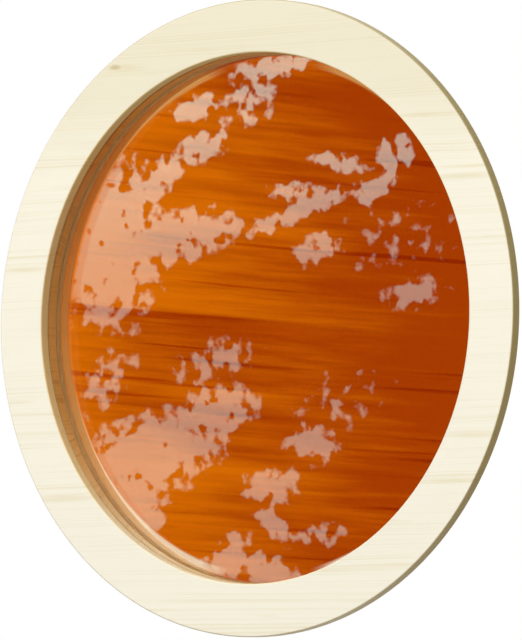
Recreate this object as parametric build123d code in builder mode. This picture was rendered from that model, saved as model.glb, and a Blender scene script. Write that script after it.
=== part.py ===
"""Round fixed window: a flat face ring over a rebated jamb, glazed with a sealed double unit.

Millimetres. The window's axis is Y: the face ring looks towards -Y, the room lies towards +Y, and +Z
is up. The origin is on that axis, in the plane where the back of the face ring meets the wall.
"""
import os
from math import cos, degrees, radians, sin

from build123d import *

# Face ring
opening_diameter = 1000
trim_face_width = 100
trim_thickness = 20
trim_arris = 2

# Groove in the back of the face ring, a narrow land outside the jamb, that holds a bead of sealant
seal_groove_land = 2
seal_groove_width = 6
seal_groove_depth = 3

# Jamb that lines the wall opening, with its glazing stop and rebate
jamb_depth = 72
jamb_wall = 32
stop_depth = 23
rebate_height = 18
jamb_back_chamfer = 2

# Shadow gap in the front of the jamb, behind the face ring's inner edge
shadow_gap_width = 5
shadow_gap_depth = 4

# Sealed double unit
pane_thickness = 4
cavity_width = 10
glass_edge_gap = 4
sealant_height = 4.5
spacer_height = 11.5

# Glazing tapes, on both faces of the unit
tape_thickness = 3
tape_width = 14

# Bead on the room side, bevelled towards the room
bead_clearance = 0.3
bead_bevel_width = 3
bead_bevel_depth = 3

# Packers between the glass edge and the rebate
setting_block_length = 90
location_block_length = 60
setting_block_angles = {"left": -120, "right": -60}
location_block_angles = {"right": 0, "upper_right": 45, "upper_left": 135, "left": 180}

# Loose tongues, glued into mortises in the jamb and in the back of the face ring
tongue_count = 12
tongue_thickness = 8
tongue_width = 40
tongue_bite = 12

# Brads of flat wire through the bead into the jamb
brad_count = 16
brad_width = 1.2
brad_thickness = 1
brad_length = 34
brad_sink = 0.5
brad_mouth_overrun = 0.5

# Radii that follow from the sizes above
opening_radius = opening_diameter / 2
trim_radius = opening_radius + trim_face_width
rebate_radius = opening_radius + rebate_height
jamb_radius = rebate_radius + jamb_wall
glass_radius = rebate_radius - glass_edge_gap
spacer_outer_radius = glass_radius - sealant_height
spacer_inner_radius = spacer_outer_radius - spacer_height
tape_inner_radius = glass_radius - tape_width
bead_radius = rebate_radius - bead_clearance
seal_groove_inner_radius = jamb_radius + seal_groove_land
seal_groove_outer_radius = seal_groove_inner_radius + seal_groove_width

# Places along the axis, from the wall plane towards the room
outer_glass_front = stop_depth + tape_thickness
cavity_front = outer_glass_front + pane_thickness
cavity_back = cavity_front + cavity_width
inner_glass_back = cavity_back + pane_thickness
bead_front = inner_glass_back + tape_thickness
bevel_front = jamb_depth - bead_bevel_depth

# Tongues and brads go through the middle of the timber that they join
tongue_circle = (opening_radius + jamb_radius) / 2
brad_place = (bead_front + bevel_front) / 2
brad_step = 360 / brad_count


def across_axis(place):
    """Plane square to the window's axis, whose extrusions run towards the face ring."""
    return Plane.XZ.offset(-place)


def section_at(angle):
    """Plane through the window's axis: its X runs outwards at this angle, its Y along the axis."""
    turn = radians(angle)
    return Plane(origin=(0, 0, 0), x_dir=(cos(turn), 0, sin(turn)), z_dir=(-sin(turn), 0, cos(turn)))


def outwards_at(angle, radius, place):
    """Plane that looks straight out from the axis at this angle."""
    turn = radians(angle)
    return Plane(
        origin=(radius * cos(turn), place, radius * sin(turn)),
        x_dir=(0, 1, 0),
        z_dir=(cos(turn), 0, sin(turn)),
    )


def ring(inner_radius, outer_radius, front, back):
    """Plain ring of rectangular section about the window's axis."""
    with BuildPart() as solid:
        with BuildSketch(across_axis(back)):
            Circle(outer_radius)
            Circle(inner_radius, mode=Mode.SUBTRACT)
        extrude(amount=back - front)
    return solid


def pane(front):
    """Disc of glass."""
    with BuildPart() as disc:
        with BuildSketch(across_axis(front + pane_thickness)):
            Circle(glass_radius)
        extrude(amount=pane_thickness)
    return disc


def brads(start_radius):
    """Ring of brads that start at this radius and all end at the same depth in the jamb."""
    with BuildPart() as wires:
        for index in range(brad_count):
            with BuildSketch(outwards_at((index + 1 / 2) * brad_step, start_radius, brad_place)):
                Rectangle(brad_width, brad_thickness)
            extrude(amount=opening_radius + brad_sink + brad_length - start_radius)
    return wires


def packer(angle, length):
    """Curved block that fills the gap between the glass edge and the rebate."""
    arc = degrees(length / rebate_radius)
    with BuildPart() as block:
        with BuildSketch(section_at(angle + arc / 2)):
            with BuildLine():
                Polyline(
                    (glass_radius, outer_glass_front),
                    (rebate_radius, outer_glass_front),
                    (rebate_radius, inner_glass_back),
                    (glass_radius, inner_glass_back),
                    close=True,
                )
            make_face()
        revolve(axis=Axis.Y, revolution_arc=arc)
    return block


# Tongues that hold the face ring to the jamb, half of each in either
with BuildPart() as trim_tongues:
    with BuildSketch(across_axis(tongue_bite)):
        with PolarLocations(tongue_circle, tongue_count):
            Rectangle(tongue_thickness, tongue_width)
    extrude(amount=tongue_bite + tongue_bite)

# Brads are punched just below the bead's inner face, so their holes start further in
bead_brads = brads(opening_radius + brad_sink)
brad_holes = brads(opening_radius - brad_mouth_overrun)

# Face ring: eased at the front and square at the back, where it overhangs the shadow gap
with BuildPart() as front_trim_ring:
    with BuildSketch(Plane.XY):
        with BuildLine():
            Polyline(
                (opening_radius + trim_arris, -trim_thickness),
                (trim_radius - trim_arris, -trim_thickness),
                (trim_radius, trim_arris - trim_thickness),
                (trim_radius, 0),
                (seal_groove_outer_radius, 0),
                (seal_groove_outer_radius, -seal_groove_depth),
                (seal_groove_inner_radius, -seal_groove_depth),
                (seal_groove_inner_radius, 0),
                (opening_radius, 0),
                (opening_radius, trim_arris - trim_thickness),
                close=True,
            )
        make_face()
    revolve(axis=Axis.Y)
    add(trim_tongues.part, mode=Mode.SUBTRACT)

# Jamb: shadow gap, stop, rebate and wall in one section, turned about the axis
with BuildPart() as jamb_ring:
    with BuildSketch(Plane.XY):
        with BuildLine():
            Polyline(
                (opening_radius + shadow_gap_depth, 0),
                (jamb_radius, 0),
                (jamb_radius, jamb_depth - jamb_back_chamfer),
                (jamb_radius - jamb_back_chamfer, jamb_depth),
                (rebate_radius, jamb_depth),
                (rebate_radius, stop_depth),
                (opening_radius, stop_depth),
                (opening_radius, shadow_gap_width),
                (opening_radius + shadow_gap_depth, shadow_gap_width),
                close=True,
            )
        make_face()
    revolve(axis=Axis.Y)
    add(trim_tongues.part, mode=Mode.SUBTRACT)
    add(brad_holes.part, mode=Mode.SUBTRACT)

# Bead: its section has a bevel on the room side
with BuildPart() as glazing_bead:
    with BuildSketch(Plane.XY):
        with BuildLine():
            Polyline(
                (opening_radius, bead_front),
                (bead_radius, bead_front),
                (bead_radius, jamb_depth),
                (opening_radius + bead_bevel_width, jamb_depth),
                (opening_radius, bevel_front),
                close=True,
            )
        make_face()
    revolve(axis=Axis.Y)
    add(brad_holes.part, mode=Mode.SUBTRACT)

# Double unit, its tapes and its packers
pieces = {
    "front_trim_ring": front_trim_ring,
    "jamb_ring": jamb_ring,
    "outer_glazing_tape": ring(tape_inner_radius, glass_radius, stop_depth, outer_glass_front),
    "outer_pane": pane(outer_glass_front),
    "spacer_bar": ring(spacer_inner_radius, spacer_outer_radius, cavity_front, cavity_back),
    "edge_sealant": ring(spacer_outer_radius, glass_radius, cavity_front, cavity_back),
    "inner_pane": pane(cavity_back),
    "inner_glazing_tape": ring(tape_inner_radius, glass_radius, inner_glass_back, bead_front),
    "glazing_bead": glazing_bead,
    "trim_tongues": trim_tongues,
    "bead_brads": bead_brads,
}
for side, angle in setting_block_angles.items():
    pieces["setting_block_" + side] = packer(angle, setting_block_length)
for side, angle in location_block_angles.items():
    pieces["location_block_" + side] = packer(angle, location_block_length)

os.makedirs("parts", exist_ok=True)
for name, piece in pieces.items():
    piece.part.label = name
    export_step(piece.part, "parts/" + name + ".step")
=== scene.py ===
"""Looks of a round fixed window: a pale face ring and bead, a stained jamb, and amber double glazing.

Metres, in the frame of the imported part: the window's axis is Y, the face ring looks towards -Y, +Z is up.
"""
import math

import bmesh
import bpy
from mathutils import Matrix, Vector


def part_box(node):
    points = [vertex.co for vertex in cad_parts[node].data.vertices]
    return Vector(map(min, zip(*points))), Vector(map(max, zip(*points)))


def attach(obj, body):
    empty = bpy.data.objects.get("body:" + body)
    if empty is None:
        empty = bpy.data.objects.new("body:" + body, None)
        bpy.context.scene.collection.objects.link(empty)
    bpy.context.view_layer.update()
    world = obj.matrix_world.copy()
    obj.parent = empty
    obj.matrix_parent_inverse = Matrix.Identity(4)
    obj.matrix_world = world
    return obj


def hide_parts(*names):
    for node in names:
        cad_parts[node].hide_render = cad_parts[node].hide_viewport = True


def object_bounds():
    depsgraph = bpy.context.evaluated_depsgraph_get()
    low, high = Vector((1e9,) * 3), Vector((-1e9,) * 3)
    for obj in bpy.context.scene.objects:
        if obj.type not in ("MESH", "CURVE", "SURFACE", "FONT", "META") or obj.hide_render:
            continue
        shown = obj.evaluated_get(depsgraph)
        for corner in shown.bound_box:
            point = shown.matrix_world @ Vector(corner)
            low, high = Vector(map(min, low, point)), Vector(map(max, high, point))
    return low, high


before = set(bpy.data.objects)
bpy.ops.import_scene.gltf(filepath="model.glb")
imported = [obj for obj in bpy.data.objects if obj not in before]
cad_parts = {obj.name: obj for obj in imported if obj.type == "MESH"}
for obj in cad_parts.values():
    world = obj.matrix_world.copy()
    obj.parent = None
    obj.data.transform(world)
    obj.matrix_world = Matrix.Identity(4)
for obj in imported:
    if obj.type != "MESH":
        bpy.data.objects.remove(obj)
cad_low, cad_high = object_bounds()

# Sizes read from the frame
trim_low, trim_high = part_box("front_trim_ring")
jamb_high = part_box("jamb_ring")[1]
tape_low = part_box("outer_glazing_tape")[0]
trim_radius = trim_high.x
trim_front = trim_low.y
jamb_radius = jamb_high.x
jamb_back = jamb_high.y
stop_back = tape_low.y

# Inner sizes of the rings, which the boxes in the frame don't give
opening_radius = 0.500
rebate_radius = 0.518
shadow_gap_width = 0.005
shadow_gap_depth = 0.004
groove_inner_radius = 0.552
groove_outer_radius = 0.558
groove_depth = 0.003

# How finely the rings and panes are divided, how corners are eased, and how far the panes stand clear
ring_segments = 480
arc_steps = 6
support_gap = 0.0006
sharp_angle = math.radians(35)
trim_arris = 0.0030
trim_back_arris = 0.0010
jamb_arris = 0.0020
pane_hair = 0.0001

# Camera of the photograph: a long lens, to the right of the window and a little below it
camera_place = Vector((8.567, -11.572, -0.717))
camera_aim = Vector((0.0245, -0.020, -0.005))
camera_lens = 430.9
camera_sensor = 36.0
camera_reach = 100.0

# Stage: a floor, a large soft lamp in front, a small one behind for the bead, and a fill from all round
floor_drop = 0.30
floor_half = 30.0
floor_roughness = 0.9
floor_colour = (0.44, 0.44, 0.43, 1.0)
floor_seen_colour = (0.86, 0.86, 0.85, 1.0)
fill_low = 0.30
fill_high = 0.92
fill_behind = 0.60
key_place = Vector((-0.60, -9.60, 7.10))
key_aim = Vector((0.0, 0.0, 0.0))
key_size = 7.0
key_power = 890.0
back_place = Vector((0.15, 0.40, 0.05))
back_aim = Vector((-0.50, 0.06, 0.0))
back_size = 0.4
back_power = 2.3


# Node helpers
def link_or_set(tree, socket, value):
    """Links a socket to a socket, or sets its value."""
    if isinstance(value, bpy.types.NodeSocket):
        tree.links.new(value, socket)
    else:
        socket.default_value = value


def node(tree, kind, settings=None, **inputs):
    """Adds a node, sets its properties, and sets or links its named inputs."""
    made = tree.nodes.new(kind)
    for key, value in (settings or {}).items():
        setattr(made, key, value)
    for key, value in inputs.items():
        link_or_set(tree, made.inputs[key.replace("_", " ")], value)
    return made


def calc(tree, operation, *values):
    """One Math node, returned as its output socket."""
    made = node(tree, "ShaderNodeMath", {"operation": operation})
    for socket, value in zip(made.inputs, values):
        link_or_set(tree, socket, value)
    return made.outputs[0]


def added(tree, base, value, factor):
    """A value plus another one times a factor."""
    return calc(tree, "ADD", base, calc(tree, "MULTIPLY", value, factor))


def centred(tree, value, size):
    """A value of 0 to 1 moved to lie about zero and scaled."""
    return calc(tree, "MULTIPLY", calc(tree, "SUBTRACT", value, 0.5), size)


def ramp(tree, value, low, high):
    """0 at low, 1 at high, smooth between them and level beyond."""
    made = node(tree, "ShaderNodeMapRange", {"interpolation_type": "SMOOTHSTEP"}, Value=value)
    made.inputs["From Min"].default_value = low
    made.inputs["From Max"].default_value = high
    return made.outputs["Result"]


def blend(tree, share, first, second, kind="MIX"):
    """Mix of two colours, returned as its output socket."""
    made = node(tree, "ShaderNodeMix", {"data_type": "RGBA", "blend_type": kind})
    for socket, value in zip((made.inputs[0], made.inputs[6], made.inputs[7]), (share, first, second)):
        link_or_set(tree, socket, value)
    return made.outputs[2]


def tinted(tree, colour, tint):
    """A colour multiplied by another."""
    return blend(tree, 1.0, colour, tint, "MULTIPLY")


def point(tree, x, y, z):
    """Vector from three values."""
    return node(tree, "ShaderNodeCombineXYZ", X=x, Y=y, Z=z).outputs[0]


def split(tree, value):
    """The three values of a vector."""
    return node(tree, "ShaderNodeSeparateXYZ", Vector=value).outputs


def length(tree, value):
    """Length of a vector."""
    return node(tree, "ShaderNodeVectorMath", {"operation": "LENGTH"}, Vector=value).outputs["Value"]


def own_place(tree):
    """Place on the object, which for a piece at the origin is its place in the frame."""
    return node(tree, "ShaderNodeTexCoord").outputs["Object"]


def stretched(tree, axes, scales):
    """Place with each axis scaled by its own number, for grain that runs one way."""
    return point(tree, *(calc(tree, "MULTIPLY", axis, scale) for axis, scale in zip(axes, scales)))


def noise(tree, place, scale=1.0, detail=2.0, roughness=0.5):
    """Noise texture, returned as its output socket."""
    made = node(tree, "ShaderNodeTexNoise", Vector=place, Scale=scale, Detail=detail, Roughness=roughness)
    return made.outputs["Fac"]


def spot(tree, place, centre, size, turn=(0.0, 0.0, 0.0)):
    """1 at the centre of an ellipsoid, falling evenly to 0 at its surface."""
    moved = node(tree, "ShaderNodeMapping", {"vector_type": "TEXTURE"}, Vector=place)
    moved.inputs["Location"].default_value = centre
    moved.inputs["Rotation"].default_value = turn
    moved.inputs["Scale"].default_value = size
    ball = node(tree, "ShaderNodeTexGradient", {"gradient_type": "SPHERICAL"}, Vector=moved.outputs[0])
    return ball.outputs["Fac"]


def rgba(red, green, blue):
    """sRGB colour of 0 to 255 as linear RGBA."""
    shares = (red / 255, green / 255, blue / 255)
    return tuple(s / 12.92 if s <= 0.04045 else ((s + 0.055) / 1.055) ** 2.4 for s in shares) + (1.0,)


def material(name):
    """New material with a Principled shader, and its node tree."""
    made = bpy.data.materials.new(name)
    made.use_nodes = True
    tree = made.node_tree
    tree.nodes.clear()
    shader = tree.nodes.new("ShaderNodeBsdfPrincipled")
    output = tree.nodes.new("ShaderNodeOutputMaterial")
    tree.links.new(shader.outputs[0], output.inputs["Surface"])
    return made, tree, shader


def wear(finish, obj):
    """Gives an object one material."""
    obj.data.materials.clear()
    obj.data.materials.append(finish)


# Softwood noises: how often each repeats in a metre along, through and up the boards
wander_scales = (1.3, 6.0, 7.0)
fade_scales = (2.4, 9.0, 30.0)
fibre_scales = (8.0, 520.0, 520.0)
flow_scales = (2.6, 14.0, 44.0)
ragged_scales = (7.0, 60.0, 380.0)
cloud_scale = 3.0

# Softwood growth: the boards' lean and their jump in the layers, and the spread and force of the years
board_lean = 0.030
board_slope = 1.6
board_jump = 0.37
uneven_scale = 45.0
uneven_years = 5.0
force_power = 1.4
late_rise = (0.30, 0.90)
late_stop = (1.0, 0.92)
fade_range = (0.28, 0.66)

# Softwood streaks and knots
flow_range = (0.66, 0.80)
streak_wave = 0.006
streak_range = (0.0, 0.9)
ragged_range = (0.20, 0.66)
knot_fray = 0.35
knot_range = (0.12, 0.85)
knot_share = 0.62

# Softwood finish and its painted light and shade: the heights, facings, depths and radii between which they
# change
top_heights = (0.22, 0.46)
end_facings = (0.10, 0.98)
painted_rim_shade_radii = (trim_radius - trim_arris, trim_radius - trim_back_arris)
inside_shade_heights = (0.12, 0.36)
inside_end_shade_facings = (0.48, 1.0)
inside_painted_radii = (opening_radius + trim_arris, opening_radius + trim_back_arris)
painted_seam_shade_front_depths = (-0.0010, -0.0002)
painted_seam_shade_back_depths = (0.0075, 0.0052)
painted_seam_shade_radii = (opening_radius - 0.0010, opening_radius - 0.0004)

# Softwood relief and gloss
fibre_relief = 0.6
wood_bump = 0.22
wood_bump_height = 0.0003
wood_rough_spread = 0.20
wood_specular = 0.30


def growth_layers(tree, axes, look):
    """Height in the growth layers of boards glued edge to edge, its slow wander, and each board's shade."""
    along, depth, height = axes
    board = calc(tree, "DIVIDE", calc(tree, "ADD", height, look["seed"]), look["board"])
    board = calc(tree, "FLOOR", board)
    dice = node(tree, "ShaderNodeTexWhiteNoise", {"noise_dimensions": "1D"}, W=board).outputs["Color"]
    lean_die, slope_die, shade_die = split(tree, dice)
    wander = noise(tree, stretched(tree, axes, wander_scales))
    layer = calc(tree, "ADD", height, centred(tree, wander, look["wander"]))
    layer = added(tree, layer, along, centred(tree, lean_die, board_lean))
    layer = added(tree, layer, depth, centred(tree, slope_die, board_slope))
    layer = added(tree, layer, board, board_jump)
    return layer, wander, shade_die


def late_wood(tree, axes, layer, look):
    """Late-wood lines of uneven years: each darkens through its year and stops short, some much fainter."""
    uneven = node(tree, "ShaderNodeTexNoise", {"noise_dimensions": "1D"}, W=layer, Scale=uneven_scale)
    years = calc(tree, "MULTIPLY", uneven.outputs["Fac"], uneven_years)
    years = calc(tree, "ADD", calc(tree, "DIVIDE", layer, look["year"]), years)
    year = calc(tree, "FRACT", years)
    count = calc(tree, "FLOOR", years)
    force = node(tree, "ShaderNodeTexWhiteNoise", {"noise_dimensions": "1D"}, W=count).outputs["Value"]
    force = calc(tree, "POWER", force, force_power)
    line = calc(tree, "MULTIPLY", ramp(tree, year, *late_rise), ramp(tree, year, *late_stop))
    fade = ramp(tree, noise(tree, stretched(tree, axes, fade_scales)), *fade_range)
    return calc(tree, "MULTIPLY", calc(tree, "MULTIPLY", line, force), fade)


def ochre_streaks(tree, axes, layer, wander, look):
    """A few broad ochre streaks, some scattered and some placed, all with ragged edges."""
    along, depth, height = axes
    flow = noise(tree, stretched(tree, (along, depth, layer), flow_scales), detail=3.0, roughness=0.55)
    streak = ramp(tree, flow, *flow_range)
    wavy = point(tree, along, depth, calc(tree, "ADD", height, centred(tree, wander, streak_wave)))
    for centre, size in look["streaks"]:
        placed = ramp(tree, spot(tree, wavy, centre, size), *streak_range)
        streak = calc(tree, "MAXIMUM", streak, placed)
    ragged = noise(tree, stretched(tree, axes, ragged_scales), detail=3.0, roughness=0.6)
    return calc(tree, "MULTIPLY", streak, ramp(tree, ragged, *ragged_range))


def finish_and_painted_light(tree, axes, colour, look):
    """Colour after finish, with painted light and shade, by where a face lies and which way it looks."""
    along, depth, height = axes
    facing = split(tree, node(tree, "ShaderNodeNewGeometry").outputs["Normal"])[0]
    facing = calc(tree, "ABSOLUTE", facing)
    radius = length(tree, point(tree, along, 0.0, height))

    # The top is a little darker
    top = ramp(tree, height, *top_heights)
    colour = blend(tree, top, colour, tinted(tree, colour, look["top"]))

    # Painted shade darkens the outer rim, and end grain, which drinks more finish, is darkest; on the face
    # ring its tint is deepened to paint in the shade on the rim's sides
    outer = blend(tree, ramp(tree, radius, *painted_rim_shade_radii), colour, tinted(tree, colour, look["rim"]))
    outer = blend(tree, ramp(tree, facing, *end_facings), outer, tinted(tree, colour, look["end"]))

    # Painted warm light and shade on the bore of the opening: warmer all round, darker and redder towards the
    # top, and deepest on the end grain of its sides
    painted_top_shade = ramp(tree, height, *inside_shade_heights)
    inner = blend(tree, painted_top_shade, colour, tinted(tree, colour, look["inside_top_painted_shade"]))
    end_grain_and_shade = tinted(tree, inner, look["inside_end_grain_and_shade"])
    inner = tinted(tree, inner, look["inside_painted_warm_light"])
    inner = blend(tree, ramp(tree, facing, *inside_end_shade_facings), inner, end_grain_and_shade)
    colour = blend(tree, ramp(tree, radius, *inside_painted_radii), outer, inner)

    # Painted shade darkens the shadow gap
    gap = calc(tree, "MULTIPLY", ramp(tree, depth, *painted_seam_shade_front_depths), ramp(tree, depth, *painted_seam_shade_back_depths))
    gap = calc(tree, "MULTIPLY", gap, ramp(tree, radius, *painted_seam_shade_radii))
    return blend(tree, gap, colour, tinted(tree, colour, look["gap"]))


def wood(name, look):
    """Solid softwood with its grain along X: lines, fibres and streaks run true through every face."""
    made, tree, shader = material(name)
    place = own_place(tree)
    axes = split(tree, place)
    layer, wander, shade_die = growth_layers(tree, axes, look)
    line = late_wood(tree, axes, layer, look)
    streak = ochre_streaks(tree, axes, layer, wander, look)
    fibre = noise(tree, stretched(tree, axes, fibre_scales), detail=4.0, roughness=0.6)

    colour = blend(tree, calc(tree, "MULTIPLY", line, look["contrast"]), look["early"], look["late"])
    colour = blend(tree, calc(tree, "MULTIPLY", streak, look["streak_share"]), colour, look["late"])
    for centre, size in look["knots"]:
        knot = calc(tree, "ADD", spot(tree, place, centre, size), centred(tree, fibre, knot_fray))
        knot = calc(tree, "MULTIPLY", ramp(tree, knot, *knot_range), knot_share)
        colour = blend(tree, knot, colour, look["knot"])

    shade = calc(tree, "ADD", 1.0, centred(tree, shade_die, look["board_shade"]))
    shade = calc(tree, "ADD", shade, centred(tree, fibre, look["fibre"]))
    shade = calc(tree, "ADD", shade, centred(tree, noise(tree, place, cloud_scale), look["cloud"]))
    colour = tinted(tree, colour, point(tree, shade, shade, shade))
    colour = finish_and_painted_light(tree, axes, colour, look)

    relief = added(tree, line, fibre, fibre_relief)
    bump = node(tree, "ShaderNodeBump", Height=relief, Strength=wood_bump, Distance=wood_bump_height)
    rough = calc(tree, "ADD", look["rough"], centred(tree, fibre, wood_rough_spread))
    tree.links.new(colour, shader.inputs["Base Color"])
    tree.links.new(rough, shader.inputs["Roughness"])
    tree.links.new(bump.outputs[0], shader.inputs["Normal"])
    shader.inputs["Specular IOR Level"].default_value = wood_specular
    return made


# Streaks and knots are ellipsoids, each with its centre and half sizes
pale_look = {
    "early": rgba(248, 242, 223),
    "late": rgba(226, 208, 158),
    "knot": rgba(204, 186, 132),
    # End grain is darker; this deep tint also paints in the shade on the outer rim's sides
    "end": (0.42, 0.33, 0.145, 1.0),
    # Painted warm light on the bore of the opening
    "inside_painted_warm_light": (1.0, 0.88, 0.70, 1.0),
    # Darker end grain of the bore's sides, with painted warm shade
    "inside_end_grain_and_shade": (0.98, 0.70, 0.35, 1.0),
    # Painted shade at the top of the bore
    "inside_top_painted_shade": (0.95, 0.85, 0.60, 1.0),
    "top": (0.912, 0.890, 0.815, 1.0),
    # Painted shade on the outer rim
    "rim": (0.70, 0.63, 0.50, 1.0),
    # Painted shade in the shadow gap
    "gap": (0.84, 0.72, 0.55, 1.0),
    "board": 0.145,
    "year": 0.0058,
    "seed": 3.37,
    "wander": 0.020,
    "contrast": 0.42,
    "streak_share": 0.50,
    "board_shade": 0.018,
    "fibre": 0.050,
    "cloud": 0.030,
    "rough": 0.56,
    "streaks": (
        ((0.490, trim_front, 0.2480), (0.130, 0.030, 0.0085)),
        ((0.500, trim_front, 0.2660), (0.110, 0.030, 0.0050)),
        ((0.515, trim_front, -0.2300), (0.120, 0.030, 0.0100)),
        ((0.465, trim_front, -0.3150), (0.130, 0.030, 0.0090)),
        ((0.420, trim_front, 0.3660), (0.130, 0.030, 0.0060)),
        ((-0.450, trim_front, -0.3330), (0.110, 0.030, 0.0110)),
        ((-0.545, trim_front, 0.1080), (0.090, 0.030, 0.0080)),
        ((-0.565, trim_front, -0.1460), (0.070, 0.030, 0.0050)),
        ((-0.300, trim_front, 0.4850), (0.070, 0.030, 0.0110)),
    ),
    "knots": (((-0.322, trim_front, 0.4880), (0.022, 0.030, 0.0085)),),
}
# The bead's bore keeps the face ring's painted light, with its own painted warm shade on the end grain of its
# sides
bead_look = pale_look | {"inside_end_grain_and_shade": (0.80, 0.50, 0.20, 1.0), "streaks": (), "knots": ()}
stained_look = {
    "early": rgba(252, 221, 172),
    "late": rgba(212, 164, 100),
    "end": (0.92, 0.70, 0.42, 1.0),
    "inside_painted_warm_light": (1.0, 1.0, 1.0, 1.0),
    # Darker end grain of the bore's sides with painted warm shade, and painted shade, darker and redder, at
    # its top
    "inside_end_grain_and_shade": (0.84, 0.50, 0.17, 1.0),
    "inside_top_painted_shade": (0.86, 0.48, 0.13, 1.0),
    "top": (1.0, 1.0, 1.0, 1.0),
    "rim": (1.0, 1.0, 1.0, 1.0),
    # Painted shade in the shadow gap
    "gap": (0.82, 0.66, 0.46, 1.0),
    "board": 0.110,
    "year": 0.0065,
    "seed": 7.91,
    "wander": 0.016,
    "contrast": 0.85,
    "streak_share": 0.55,
    "board_shade": 0.08,
    "fibre": 0.14,
    "cloud": 0.08,
    "rough": 0.42,
    "streaks": (),
    "knots": (),
}

# Float glass
glass_ior = 1.52

# Amber glass: streaks and threads in a metre along, through and up the pane, and where its rim is brown, with
# painted light low down and painted shade high up
broad_scales = (1.3, 1.0, 8.0)
broad_share = 0.60
fine_scales = (2.4, 1.0, 46.0)
fine_share = 0.40
across_share = 0.40
amber_range = (0.30, 0.64)
streak_slope = 0.10
streak_fan = 0.09
thread_scales = (1.1, 1.0, 62.0)
thread_range = (0.58, 0.70)
thread_tint = (0.74, 0.45, 0.50, 1.0)
brown_radii = (opening_radius - 0.022, opening_radius - 0.016)
brown_sides = (0.09, 0.17)
painted_light_heights = (-0.35, 0.35)

# Speckle of rubber, plastic and wire
speckle_dark_share = 0.78
speckle_bump = 0.2
speckle_bump_height = 0.0002
speckle_rough_spread = 0.2


def glass(name, tint):
    """Flat float glass; the tint is what a ray keeps on its way through one pane."""
    made, _, shader = material(name)
    shader.inputs["Base Color"].default_value = tint
    shader.inputs["Roughness"].default_value = 0.0
    shader.inputs["IOR"].default_value = glass_ior
    shader.inputs["Transmission Weight"].default_value = 1.0
    return made


def streaky_glass(name, pale, deep, painted_lit_rim, painted_shaded_rim):
    """Glass tinted in soft streaks that fan a little, with thin darker threads and browner side rims, with
    painted light at their bottom and painted shade at their top.
    """
    made = glass(name, pale)
    tree = made.node_tree
    across, depth, height = split(tree, own_place(tree))
    slope = added(tree, streak_slope, height, streak_fan)
    axes = (across, depth, added(tree, height, across, slope))
    broad = noise(tree, stretched(tree, axes, broad_scales), detail=3.0, roughness=0.55)
    fine = noise(tree, stretched(tree, axes, fine_scales), detail=3.0, roughness=0.60)
    share = added(tree, calc(tree, "MULTIPLY", broad, broad_share), fine, fine_share)
    share = added(tree, share, across, across_share)
    tint = blend(tree, ramp(tree, share, *amber_range), pale, deep)
    thread = ramp(tree, noise(tree, stretched(tree, axes, thread_scales)), *thread_range)
    tint = blend(tree, thread, tint, tinted(tree, tint, thread_tint))

    edge = ramp(tree, length(tree, point(tree, across, 0.0, height)), *brown_radii)
    edge = calc(tree, "MULTIPLY", edge, ramp(tree, calc(tree, "ABSOLUTE", across), *brown_sides))
    # The side rims go from painted light low down to painted shade high up
    brown = blend(tree, ramp(tree, height, *painted_light_heights), painted_lit_rim, painted_shaded_rim)
    tint = blend(tree, edge, tint, brown)
    tree.links.new(tint, tree.nodes["Principled BSDF"].inputs["Base Color"])
    return made


def moulded(name, colour, roughness, grain, metallic=0.0):
    """Rubber, plastic or bright wire with a fine grain."""
    made, tree, shader = material(name)
    speckle = noise(tree, own_place(tree), grain, detail=3.0)
    dark = tuple(speckle_dark_share * part for part in colour[:3]) + (1.0,)
    bump = node(tree, "ShaderNodeBump", Height=speckle, Strength=speckle_bump, Distance=speckle_bump_height)
    rough = calc(tree, "ADD", roughness, centred(tree, speckle, speckle_rough_spread))
    tree.links.new(blend(tree, speckle, dark, colour), shader.inputs["Base Color"])
    tree.links.new(bump.outputs[0], shader.inputs["Normal"])
    tree.links.new(rough, shader.inputs["Roughness"])
    shader.inputs["Metallic"].default_value = metallic
    return made


# Finish of every node; the packers, which aren't named here, share one plastic
face_wood = wood("face_wood", pale_look)
bead_wood = wood("bead_wood", bead_look)
jamb_wood = wood("jamb_wood", stained_look)
tape_rubber = moulded("glazing_tape", rgba(238, 164, 98), roughness=0.75, grain=900.0)
packer_plastic = moulded("packer_plastic", rgba(70, 72, 74), roughness=0.45, grain=500.0)
finishes = {
    "front_trim_ring": face_wood,
    "jamb_ring": jamb_wood,
    "glazing_bead": bead_wood,
    "trim_tongues": jamb_wood,
    "outer_pane": glass("clear_glass", (0.97, 0.98, 0.97, 1.0)),
    "inner_pane": streaky_glass(
        "amber_glass",
        pale=(0.82, 0.180, 0.0012, 1.0),
        deep=(0.47, 0.055, 0.0008, 1.0),
        # Rim colours: painted light low down, painted shade high up
        painted_lit_rim=(0.95, 0.69, 0.47, 1.0),
        painted_shaded_rim=(0.74, 0.32, 0.09, 1.0),
    ),
    "outer_glazing_tape": tape_rubber,
    "inner_glazing_tape": tape_rubber,
    "spacer_bar": moulded("spacer_bar", rgba(255, 198, 118), roughness=0.60, grain=700.0),
    "edge_sealant": moulded("edge_sealant", rgba(40, 36, 33), roughness=0.70, grain=600.0),
    "bead_brads": moulded("brad_steel", rgba(150, 146, 138), roughness=0.35, grain=1500.0, metallic=1.0),
}
for name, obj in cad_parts.items():
    wear(finishes.get(name, packer_plastic), obj)


# Panes and turned rings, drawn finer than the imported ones
def stand_in(name, shape):
    """Object made of a drawn shape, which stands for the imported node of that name."""
    bmesh.ops.recalc_face_normals(shape, faces=shape.faces)
    mesh = bpy.data.meshes.new(name)
    shape.to_mesh(mesh)
    shape.free()
    mesh.shade_smooth()
    mesh.set_sharp_from_angle(angle=sharp_angle)
    drawn = bpy.data.objects.new("turned_" + name, mesh)
    bpy.context.collection.objects.link(drawn)
    wear(finishes[name], drawn)
    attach(drawn, "root")
    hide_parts(name)


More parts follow.
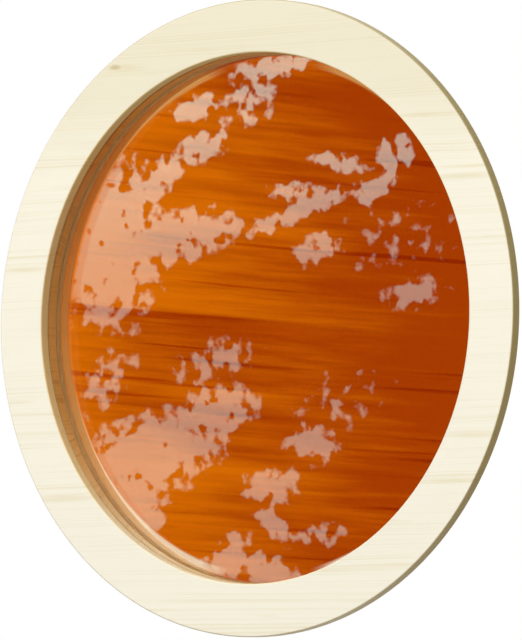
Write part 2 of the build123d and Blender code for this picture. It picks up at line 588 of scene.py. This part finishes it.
def pane(name):
    """Disc of glass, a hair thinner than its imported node, so that its faces lie clear of what it touches."""
    low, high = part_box(name)
    middle = (low.y + high.y) / 2
    across = Matrix.Translation((0.0, middle, 0.0)) @ Matrix.Rotation(math.radians(90), 4, "X")
    shape = bmesh.new()
    bmesh.ops.create_cone(
        shape,
        cap_ends=True,
        segments=ring_segments,
        radius1=high.x,
        radius2=high.x,
        depth=high.y - low.y - 2 * pane_hair,
        matrix=across,
    )
    stand_in(name, shape)


def eased(corners):
    """Closed outline through (radius, place, ease) corners, each rounded by an arc of its ease radius."""
    outline = []
    for index, (radius, place, ease) in enumerate(corners):
        corner = Vector((radius, place))
        if ease == 0:
            outline.append(corner)
            continue
        before = (Vector(corners[index - 1][:2]) - corner).normalized()
        after = (Vector(corners[(index + 1) % len(corners)][:2]) - corner).normalized()
        half = before.angle(after) / 2
        reach = ease / math.tan(half)
        middle = corner + (before + after).normalized() * ease / math.sin(half)
        start = corner + before * reach - middle
        end = corner + after * reach - middle
        sweep = start.angle(end)
        outline.append(corner + before * (reach + support_gap))
        for step in range(arc_steps + 1):
            turned_by = sweep * step / arc_steps
            arm = start * math.sin(sweep - turned_by) + end * math.sin(turned_by)
            outline.append(middle + arm / math.sin(sweep))
        outline.append(corner + after * (reach + support_gap))
    return outline


def turned(name, corners):
    """Ring turned from an outline about the window's axis."""
    outline = eased(corners)
    shape = bmesh.new()
    rows = []
    for index in range(ring_segments):
        angle = 2 * math.pi * index / ring_segments
        turn = Vector((math.cos(angle), math.sin(angle)))
        rows.append([shape.verts.new((r * turn.x, y, r * turn.y)) for r, y in outline])
    for index, row in enumerate(rows):
        following = rows[(index + 1) % ring_segments]
        for near in range(len(outline)):
            far = (near + 1) % len(outline)
            shape.faces.new((row[near], row[far], following[far], following[near]))
    stand_in(name, shape)


pane("outer_pane")
pane("inner_pane")
turned(
    "front_trim_ring",
    (
        (opening_radius, trim_front, trim_arris),
        (trim_radius, trim_front, trim_arris),
        (trim_radius, 0.0, trim_back_arris),
        (groove_outer_radius, 0.0, 0.0),
        (groove_outer_radius, -groove_depth, 0.0),
        (groove_inner_radius, -groove_depth, 0.0),
        (groove_inner_radius, 0.0, 0.0),
        (opening_radius, 0.0, 0.0),
    ),
)
turned(
    "jamb_ring",
    (
        (opening_radius + shadow_gap_depth, 0.0, 0.0),
        (jamb_radius, 0.0, 0.0),
        (jamb_radius, jamb_back, jamb_arris),
        (rebate_radius, jamb_back, 0.0),
        (rebate_radius, stop_back, 0.0),
        (opening_radius, stop_back, 0.0),
        (opening_radius, shadow_gap_width, 0.0),
        (opening_radius + shadow_gap_depth, shadow_gap_width, 0.0),
    ),
)


# Stage: floor, lamps, world and camera
def rays_seen(tree, path):
    """1 for the rays that show a surface or the world itself: straight, through glass or mirrored."""
    straight = calc(tree, "MAXIMUM", path["Is Camera Ray"], path["Is Transmission Ray"])
    return calc(tree, "MAXIMUM", straight, path["Is Glossy Ray"])


def add_floor():
    """Floor some way below the window: pale where it is seen, and darker where it only throws light back."""
    mesh = bpy.data.meshes.new("floor")
    level = cad_low.z - floor_drop
    corners = [(x * floor_half, y * floor_half, level) for x, y in ((-1, -1), (1, -1), (1, 1), (-1, 1))]
    mesh.from_pydata(corners, [], [(0, 1, 2, 3)])
    floor = bpy.data.objects.new("floor", mesh)
    bpy.context.collection.objects.link(floor)
    made, tree, shader = material("floor")
    seen = rays_seen(tree, node(tree, "ShaderNodeLightPath").outputs)
    tree.links.new(blend(tree, seen, floor_colour, floor_seen_colour), shader.inputs["Base Color"])
    shader.inputs["Roughness"].default_value = floor_roughness
    wear(made, floor)


def add_lamp(name, place, aim, size, power):
    """Soft square lamp that the camera doesn't see."""
    lamp = bpy.data.lights.new(name, "AREA")
    lamp.shape = "SQUARE"
    lamp.size = size
    lamp.energy = power
    holder = bpy.data.objects.new(name, lamp)
    holder.location = place
    holder.rotation_mode = "QUATERNION"
    holder.rotation_quaternion = (aim - place).to_track_quat("-Z", "Y")
    holder.visible_camera = False
    bpy.context.collection.objects.link(holder)
    return holder


# The pane's mirror view, in runs for each metre ahead: its middle, its half widths and the least way ahead
mirror_centre = (-0.739, 0.0617)
mirror_half = (0.0385, 0.0407)
least_ahead = 0.05

# Gaps in the mirrored leaves, in half widths of that view: centre, half sizes, turn in degrees, open share
sky_gaps = (
    ((-0.82, 0.33), (0.40, 0.48), 0, 1.0),
    ((-0.52, 0.34), (0.58, 0.15), 6, 0.95),
    ((-0.58, 0.56), (0.32, 0.10), 35, 0.88),
    ((-0.33, 0.70), (0.22, 0.09), 12, 0.80),
    ((-0.36, 0.86), (0.19, 0.08), 10, 0.82),
    ((0.04, 1.01), (0.28, 0.07), 4, 1.0),
    ((-0.08, 0.88), (0.30, 0.16), 10, 0.50),
    ((0.20, 0.43), (0.46, 0.06), 17, 0.86),
    ((0.57, 0.50), (0.15, 0.07), 20, 0.82),
    ((0.40, 0.615), (0.24, 0.055), -11, 0.80),
    ((0.64, 0.60), (0.065, 0.14), 20, 0.92),
    ((0.73, 0.66), (0.060, 0.11), 20, 0.90),
    ((0.20, 0.50), (0.28, 0.07), -5, 0.62),
    ((0.28, 0.27), (0.20, 0.10), 10, 0.62),
    ((0.79, 0.08), (0.25, 0.10), 5, 0.64),
    ((0.68, 0.30), (0.60, 0.30), 5, 0.27),
    ((-0.62, -0.53), (0.60, 0.23), 10, 1.0),
    ((-0.27, -0.37), (0.34, 0.15), 12, 0.95),
    ((-0.70, -0.72), (0.26, 0.24), 0, 1.0),
    ((-0.25, -0.16), (0.40, 0.15), 15, 0.50),
    ((-0.84, -0.22), (0.34, 0.18), 40, 0.44),
    ((0.26, -0.50), (0.22, 0.12), -10, 0.76),
    ((0.04, -0.67), (0.24, 0.11), 5, 0.76),
    ((0.06, -0.82), (0.18, 0.08), -30, 0.76),
    ((0.28, -0.87), (0.28, 0.09), 5, 0.52),
    ((0.40, -0.34), (0.50, 0.22), 5, 0.30),
    ((-0.18, -0.95), (0.20, 0.12), 25, 0.88),
    ((0.04, -1.01), (0.26, 0.10), -15, 0.95),
)
gap_gain = 1.5

# The slow noise that opens the leaves beyond that view, and the leaves at the edges of each gap
beyond_reach = (1.8, 2.6)
beyond_scale = 0.8
beyond_range = (0.42, 0.75)
leaf_scale = 17.0
leaf_detail = 2.0
leaf_roughness = 0.45
leaf_spread = 2.8
leaf_base_share = 0.25
leaf_edges = (0.34, 0.66)

# Sky colour and level, and how much brighter it is in the upper half of the view
sky_colour = (0.50, 1.0, 0.90, 1.0)
sky_level = 1.45
sky_lift = 1.10
sky_lift_range = (0.0, 1.0)
white = (1.0, 1.0, 1.0, 1.0)


def in_half_widths(tree, run, ahead, centre, half):
    """A direction's run for each metre ahead, about the middle of the pane's mirror view."""
    return calc(tree, "DIVIDE", calc(tree, "SUBTRACT", calc(tree, "DIVIDE", run, ahead), centre), half)


def sky_through_leaves(tree, directions):
    """How much bright sky a ray meets: open gaps with ragged leafy edges, dark leaves between them."""
    across, ahead, rise = directions
    ahead = calc(tree, "MAXIMUM", calc(tree, "ABSOLUTE", ahead), least_ahead)
    u = in_half_widths(tree, across, ahead, mirror_centre[0], mirror_half[0])
    v = in_half_widths(tree, rise, ahead, mirror_centre[1], mirror_half[1])
    place = point(tree, u, v, 0.0)

    # Openness of the leaves: the gaps above, and a slow noise in all other directions
    open_share = 0.0
    for centre, size, turn, share in sky_gaps:
        one = spot(tree, place, centre + (0.0,), size + (1.0,), (0.0, 0.0, math.radians(turn)))
        open_share = calc(tree, "MAXIMUM", open_share, calc(tree, "MULTIPLY", one, gap_gain * share))
    beyond = ramp(tree, noise(tree, place, beyond_scale), *beyond_range)
    beyond = calc(tree, "MULTIPLY", ramp(tree, length(tree, place), *beyond_reach), beyond)
    open_share = calc(tree, "MAXIMUM", open_share, beyond)

    # Leaves break up the edges of each gap
    leaves = centred(tree, noise(tree, place, leaf_scale, leaf_detail, leaf_roughness), leaf_spread)
    bright = added(tree, open_share, leaves, calc(tree, "ADD", open_share, leaf_base_share))
    bright = ramp(tree, bright, *leaf_edges)
    level = added(tree, sky_level, ramp(tree, v, *sky_lift_range), sky_lift)
    return calc(tree, "MULTIPLY", bright, level)


def add_world():
    """Soft fill for the surfaces, a white background where it is seen, and leafy sky in reflections."""
    world = bpy.data.worlds.new("studio")
    bpy.context.scene.world = world
    world.use_nodes = True
    tree = world.node_tree
    tree.nodes.clear()
    path = node(tree, "ShaderNodeLightPath").outputs
    unscattered = calc(tree, "LESS_THAN", path["Diffuse Depth"], 0.5)
    seen = calc(tree, "MULTIPLY", rays_seen(tree, path), unscattered)
    mirrored = calc(tree, "GREATER_THAN", path["Glossy Depth"], 0.5)

    directions = split(tree, node(tree, "ShaderNodeTexCoord").outputs["Generated"])
    above = calc(tree, "MULTIPLY", calc(tree, "MAXIMUM", directions[2], 0.0), fill_high - fill_low)
    behind = calc(tree, "MULTIPLY", calc(tree, "MAXIMUM", directions[1], 0.0), fill_behind)
    level = calc(tree, "ADD", calc(tree, "ADD", fill_low, above), behind)
    sky = sky_through_leaves(tree, directions)
    fill = node(tree, "ShaderNodeBackground", Color=white, Strength=level)
    backdrop = node(tree, "ShaderNodeBackground", Color=white, Strength=1.0)
    garden = node(tree, "ShaderNodeBackground", Color=sky_colour, Strength=sky)

    view = node(tree, "ShaderNodeMixShader", Fac=mirrored)
    tree.links.new(backdrop.outputs[0], view.inputs[1])
    tree.links.new(garden.outputs[0], view.inputs[2])
    lit = node(tree, "ShaderNodeMixShader", Fac=seen)
    tree.links.new(fill.outputs[0], lit.inputs[1])
    tree.links.new(view.outputs[0], lit.inputs[2])
    node(tree, "ShaderNodeOutputWorld", Surface=lit.outputs[0])


def add_camera():
    """Camera at the photograph's place, with no shift."""
    data = bpy.data.cameras.new("camera")
    data.sensor_width = camera_sensor
    data.lens = camera_lens
    data.clip_end = camera_reach
    camera = bpy.data.objects.new("camera", data)
    camera.location = camera_place
    camera.rotation_mode = "QUATERNION"
    camera.rotation_quaternion = (camera_aim - camera_place).to_track_quat("-Z", "Y")
    bpy.context.collection.objects.link(camera)
    bpy.context.scene.camera = camera


add_floor()
add_lamp("key", key_place, key_aim, key_size, key_power)
back = add_lamp("back", back_place, back_aim, back_size, back_power)
back.visible_transmission = False
back.visible_glossy = False
add_world()
add_camera()
bpy.context.scene.view_settings.view_transform = "Standard"
